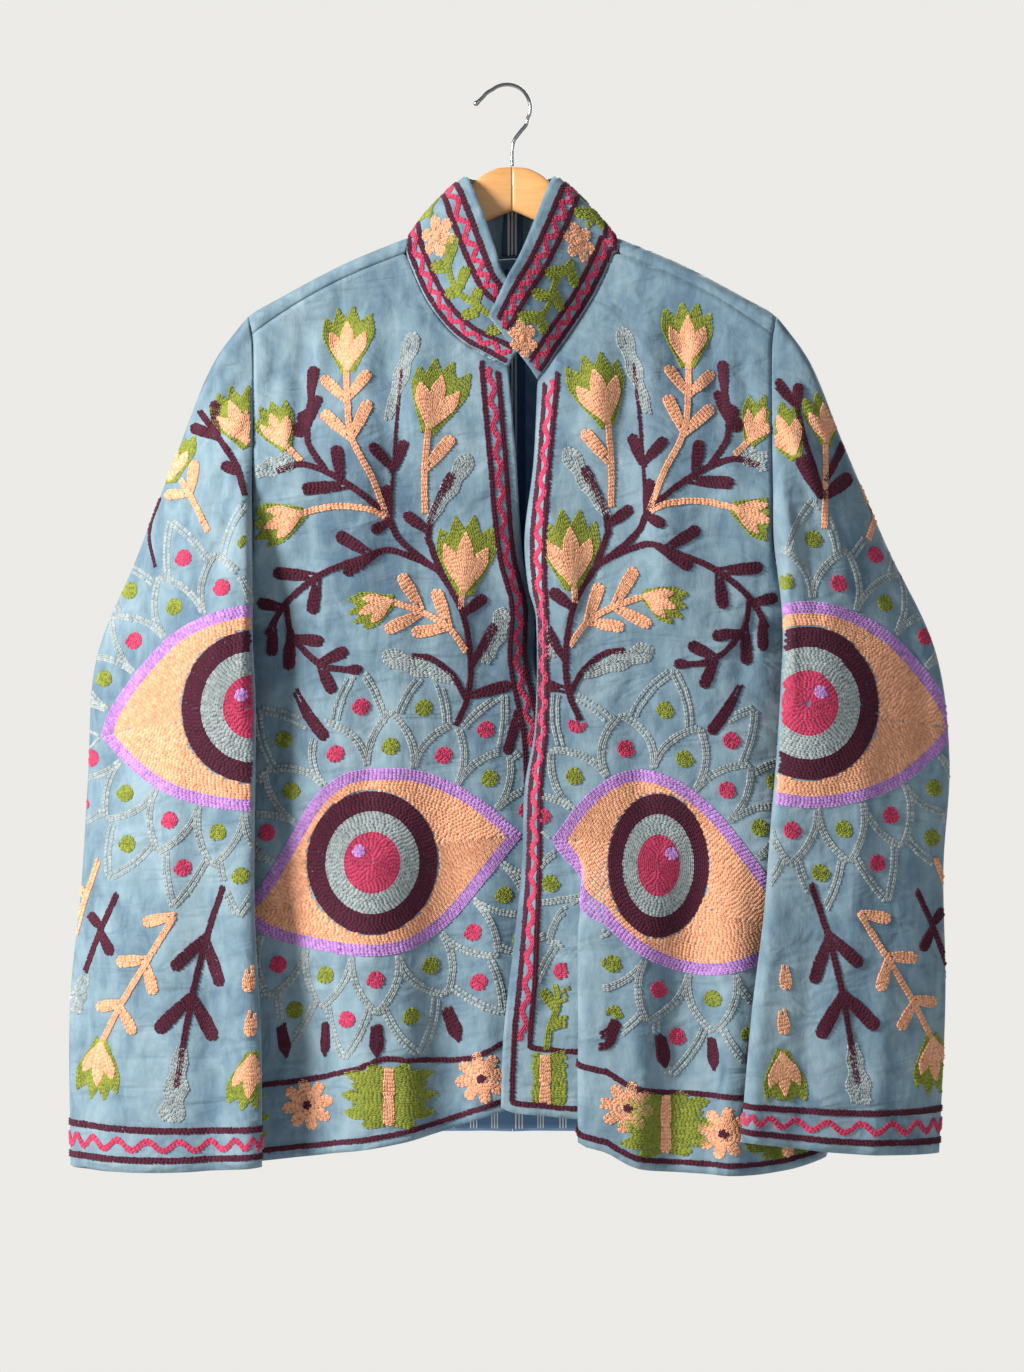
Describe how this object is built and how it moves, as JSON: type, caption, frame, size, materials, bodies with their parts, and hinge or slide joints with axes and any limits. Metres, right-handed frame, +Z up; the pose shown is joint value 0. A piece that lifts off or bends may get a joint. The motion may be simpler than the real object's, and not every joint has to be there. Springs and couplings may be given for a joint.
{
  "type": "embroidered velvet suzani jacket on a wooden hanger",
  "caption": "Pale blue velvet suzani jacket with a stand collar, open front and chain-stitch embroidery, hung on a wooden hanger with a steel hook.",
  "frame": {"origin": "underside of the hook's crown, where the hanger hangs", "axes": "+Z up, +X to the wearer's left (the viewer's right from the front), the front faces -Y"},
  "size_m": [0.6531, 0.1212, 0.811],
  "materials": {
    "velvet": "cotton velvet with a soft nap and chain-stitch embroidery",
    "tape": "woven cotton tape, navy with white stripes",
    "lining": "woven cotton, blue with white stripes",
    "wood": "satin varnish",
    "steel": "bright nickel plate"
  },
  "bodies": {
    "root": {"front_right": "velvet", "front_left": "velvet", "back_right": "velvet", "back_left": "velvet", "sleeve_right": "velvet", "sleeve_left": "velvet", "collar": "velvet", "front_facing": "velvet", "back_tape": "tape", "hanger_loop": "tape", "hem_facing": "lining", "hanger_arm_right": "wood", "hanger_arm_left": "wood", "hanger_hook": "steel"}
  },
  "joints": []
}
